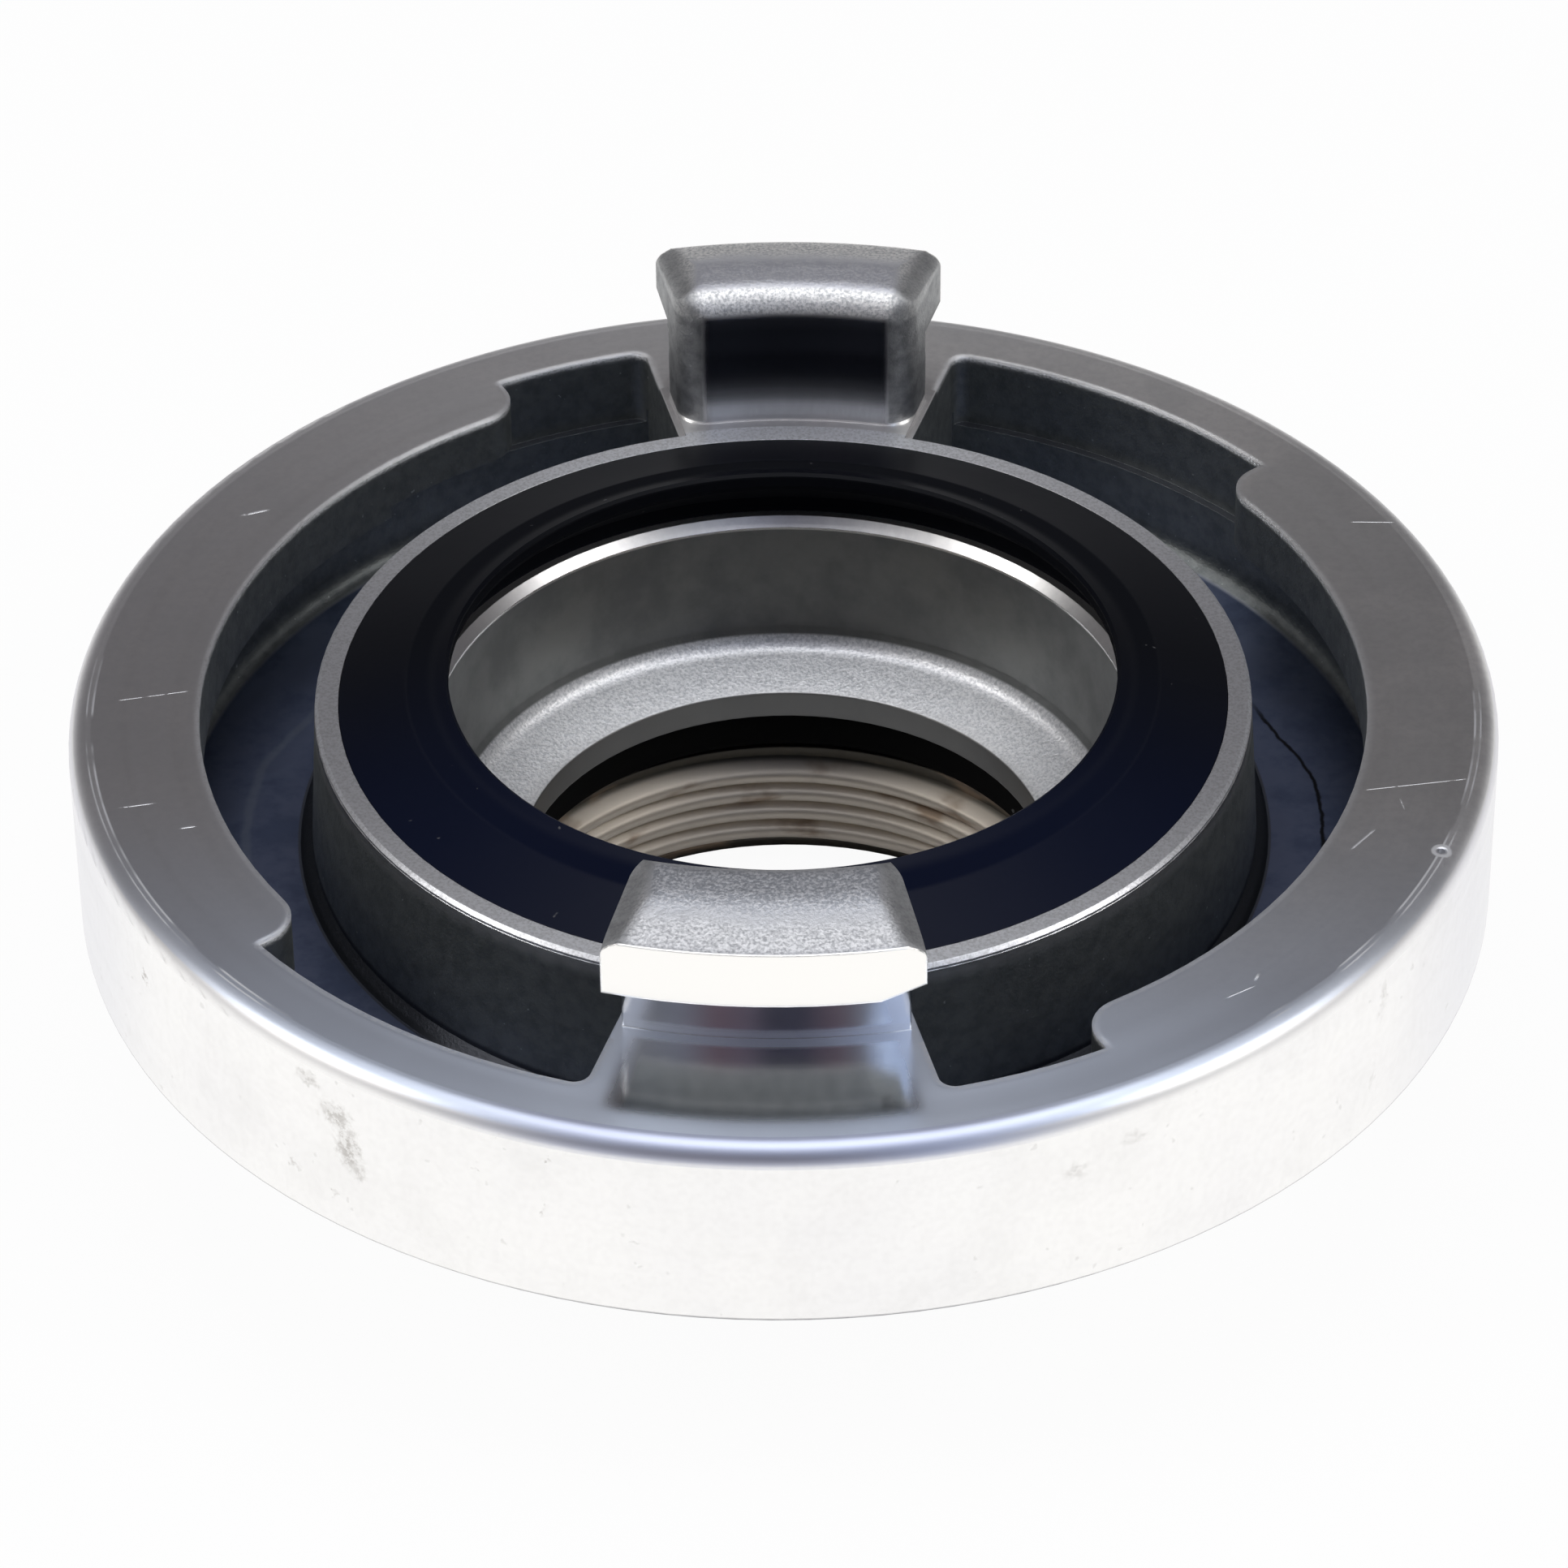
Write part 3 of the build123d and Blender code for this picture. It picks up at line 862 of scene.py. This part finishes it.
# ---------------------------------------------------------------- pipe thread
def thread_profile():
    """The ridge's section over one pitch: offset along the axis, height above the wall."""
    half = THREAD_PITCH / 2
    depth = THREAD_ROOT - THREAD_CREST
    rising = (
        (-0.96 * half, -THREAD_SUNK),
        (-0.84 * half, 0.10 * depth),
        (-0.42 * half, 0.84 * depth),
        (-0.22 * half, 0.98 * depth),
    )
    falling = tuple((-offset, rise) for offset, rise in reversed(rising))
    return rising + falling


def thread_ring(mesh, angle, level, fade):
    """The corners of the ridge's section at one angle."""
    ring = []
    for offset, rise in thread_profile():
        radius = THREAD_ROOT - max(rise * fade, -THREAD_SUNK)
        place = (radius * math.cos(angle), radius * math.sin(angle), level + offset)
        ring.append(mesh.verts.new([length * MM for length in place]))
    return ring


def thread_ridge():
    """One helical ridge with a rounded crest, standing on the socket's plain wall."""
    length = THREAD_TOP - THREAD_MOUTH
    count = int(length / THREAD_PITCH * STEPS_A_TURN)
    mesh = bmesh.new()
    rings = []
    for step in range(count + 1):
        angle = 2 * math.pi * step / STEPS_A_TURN
        level = THREAD_MOUTH + THREAD_PITCH / 2 + step / count * (length - THREAD_PITCH)
        fade = min(1.0, step / FADE_STEPS, (count - step) / FADE_STEPS)
        rings.append(thread_ring(mesh, angle, level, fade))
    for first, second in zip(rings, rings[1:]):
        for index in range(len(first) - 1):
            corners = (first[index], second[index], second[index + 1], first[index + 1])
            mesh.faces.new(corners).smooth = True
    for ring in (rings[0], list(reversed(rings[-1]))):
        mesh.faces.new(ring)
    bmesh.ops.recalc_face_normals(mesh, faces=mesh.faces)
    data = bpy.data.meshes.new("pipe_thread")
    mesh.to_mesh(data)
    mesh.free()
    return data


def add_thread():
    thread = bpy.data.objects.new("pipe_thread", thread_ridge())
    bpy.context.scene.collection.objects.link(thread)
    thread.data.materials.append(METAL)
    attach(thread, "root")


add_thread()


# ---------------------------------------------------------------- floor
FLOOR_SIZE = 3.0
FLOOR_GAP = 0.02 * MM
FLOOR_GLOW = 0.95
FLOOR_PAINT = (0.9, 0.9, 0.9, 1)
WHITE = (1, 1, 1, 1)
# Metal mirrors the floor as white from this radius on
MIRRORED_RADIUS = 40.0
MIRRORED_SOFT = 6.0


def floor_material():
    """Nearly white for the camera, with a faint shadow, and white in reflections beyond the socket."""
    g = Surface("pale_floor")
    paint = g.node("BsdfDiffuse")
    paint.inputs["Color"].default_value = FLOOR_PAINT
    glow = g.node("Emission")
    glow.inputs["Color"].default_value = WHITE
    glow.inputs["Strength"].default_value = 1.0
    path = g.node("LightPath")
    outside = g.above(g.radius, MIRRORED_RADIUS, MIRRORED_SOFT)
    seen = g.times(path.outputs["Is Camera Ray"], FLOOR_GLOW)
    mirrored = g.times(path.outputs["Is Glossy Ray"], outside)
    shade = g.node("MixShader")
    g.put(shade.inputs[0], g.add(seen, mirrored))
    g.put(shade.inputs[1], paint.outputs[0])
    g.put(shade.inputs[2], glow.outputs[0])
    g.put(g.output.inputs["Surface"], shade.outputs[0])
    return g.material


bpy.ops.mesh.primitive_plane_add(size=FLOOR_SIZE, location=(0, 0, -FLOOR_GAP))
floor = bpy.context.object
floor.name = "floor"
floor.data.materials.append(floor_material())


# ---------------------------------------------------------------- room
# The room in front of the coupling, low and high: sideways place from left to right, colour
ROOM_HALF_WIDTH = 0.6
LOW_ROOM = (
    (-0.60, (0.25, 0.25, 0.26)),
    (-0.45, (0.13, 0.14, 0.17)),
    (-0.34, (0.12, 0.13, 0.17)),
    (-0.22, (0.09, 0.058, 0.078)),
    (-0.10, (0.085, 0.07, 0.10)),
    (-0.03, (0.028, 0.028, 0.045)),
    (0.10, (0.023, 0.023, 0.04)),
    (0.22, (0.085, 0.058, 0.078)),
    (0.30, (0.10, 0.10, 0.12)),
    (0.37, (0.45, 0.56, 0.80)),
    (0.50, (0.45, 0.56, 0.80)),
    (0.60, (0.25, 0.25, 0.26)),
)
HIGH_ROOM = (
    (-0.60, (0.55, 0.55, 0.58)),
    (-0.30, (0.30, 0.31, 0.36)),
    (0.00, (0.09, 0.09, 0.12)),
    (0.30, (0.30, 0.32, 0.42)),
    (0.60, (0.55, 0.57, 0.62)),
)
# Heights between which the low room turns into the high one, and depths between which front turns into back
ROOM_STEP = (0.66, 0.76)
ROOM_SIDES = (-0.12, 0.05)
# The room behind the coupling: height, colour
BACK_ROOM = (
    (0.0, (0.42, 0.42, 0.44)),
    (0.38, (0.095, 0.090, 0.095)),
)


def room_colors(g, value, stops):
    """A colour for each value, straight between the stops."""
    made = g.node("ValToRGB")
    g.put(made.inputs[0], value)
    elements = made.color_ramp.elements
    while len(elements) < len(stops):
        elements.new(1.0)
    for element, (position, _) in zip(elements, stops):
        element.position = position
    for element, (_, color) in zip(elements, stops):
        element.color = (*color, 1)
    return made.outputs[0]


def front_room(g, across, depth, height):
    """The room in front of the coupling, where it has dark and light stretches."""
    sideways = g.split(g.vector("NORMALIZE", g.combine(across, depth, 0.0)))[0]
    place = g.span(sideways, -ROOM_HALF_WIDTH, ROOM_HALF_WIDTH)
    rows = []
    for stops in (LOW_ROOM, HIGH_ROOM):
        width = 2 * ROOM_HALF_WIDTH
        placed = [((position + ROOM_HALF_WIDTH) / width, color) for position, color in stops]
        rows.append(room_colors(g, place, placed))
    return g.mix(g.span(height, *ROOM_STEP), *rows)


def studio_world():
    """A room that is white for the camera, grey behind the coupling and darker in front of it."""
    world = bpy.data.worlds.new("studio")
    bpy.context.scene.world = world
    world.use_nodes = True
    g = Graph(world.node_tree)
    across, depth, height = g.split(g.node("TexCoord").outputs["Generated"])
    front = front_room(g, across, depth, height)
    back = room_colors(g, height, BACK_ROOM)
    room = g.node("Background")
    g.put(room.inputs["Color"], g.mix(g.span(depth, *ROOM_SIDES), front, back))
    white = g.node("Background")
    white.inputs["Color"].default_value = WHITE
    choose = g.node("MixShader")
    g.put(choose.inputs[0], g.node("LightPath").outputs["Is Camera Ray"])
    g.put(choose.inputs[1], room.outputs[0])
    g.put(choose.inputs[2], white.outputs[0])
    g.put(g.node("OutputWorld").inputs["Surface"], choose.outputs[0])


studio_world()


# ---------------------------------------------------------------- lamps
# Name, place, width and height in metres, power in watts, colour
LAMPS = (
    ("overhead", (0.0, 0.05, 0.80), (0.60, 0.60), 2.6, (0.955, 0.97, 1.0)),
    ("left_box", (-0.62, -0.16, 0.52), (0.34, 0.30), 1.6, (1.0, 0.99, 0.98)),
    ("right_box", (0.62, -0.16, 0.52), (0.34, 0.30), 1.6, (1.0, 0.99, 0.98)),
)
LAMP_AIM = Vector((0, 0, 0.02))


def soft_lamp(name, place, size, power, color):
    data = bpy.data.lights.new(name, "AREA")
    data.shape = "RECTANGLE"
    data.size, data.size_y = size
    data.energy = power
    data.color = color
    lamp = bpy.data.objects.new(name, data)
    bpy.context.scene.collection.objects.link(lamp)
    lamp.location = place
    aim = LAMP_AIM - lamp.location
    lamp.rotation_euler = aim.to_track_quat("-Z", "Y").to_euler()


for lamp_facts in LAMPS:
    soft_lamp(*lamp_facts)


# ---------------------------------------------------------------- camera
CAMERA_DISTANCE = 480 * MM
CAMERA_RISE = 5.33 * MM
CAMERA_ELEVATION = math.radians(36.91)
CAMERA_AZIMUTH = math.radians(2.0)
CAMERA_ROLL = math.radians(0.59)
CAMERA_LENS = 157.68
CAMERA_SENSOR = 36.0


def add_camera():
    """Looks down at the flange from the front, with a little roll."""
    forward = Vector((0, math.cos(CAMERA_ELEVATION), -math.sin(CAMERA_ELEVATION)))
    upright = Vector((0, math.sin(CAMERA_ELEVATION), math.cos(CAMERA_ELEVATION)))
    side = forward.cross(upright)
    right = math.cos(CAMERA_ROLL) * side - math.sin(CAMERA_ROLL) * upright
    top = math.sin(CAMERA_ROLL) * side + math.cos(CAMERA_ROLL) * upright
    turn = Matrix.Rotation(CAMERA_AZIMUTH, 3, "Z")
    axes = [turn @ right, turn @ top, turn @ -forward]
    aim = Vector((0, 0, FLANGE_FOOT * MM))
    data = bpy.data.cameras.new("camera")
    data.sensor_width = CAMERA_SENSOR
    data.lens = CAMERA_LENS
    camera = bpy.data.objects.new("camera", data)
    bpy.context.scene.collection.objects.link(camera)
    pose = Matrix([[axis[row] for axis in axes] for row in range(3)]).to_4x4()
    pose.translation = aim + turn @ (CAMERA_RISE * upright - CAMERA_DISTANCE * forward)
    camera.matrix_world = pose
    bpy.context.scene.camera = camera


add_camera()
bpy.context.scene.view_settings.view_transform = "Standard"
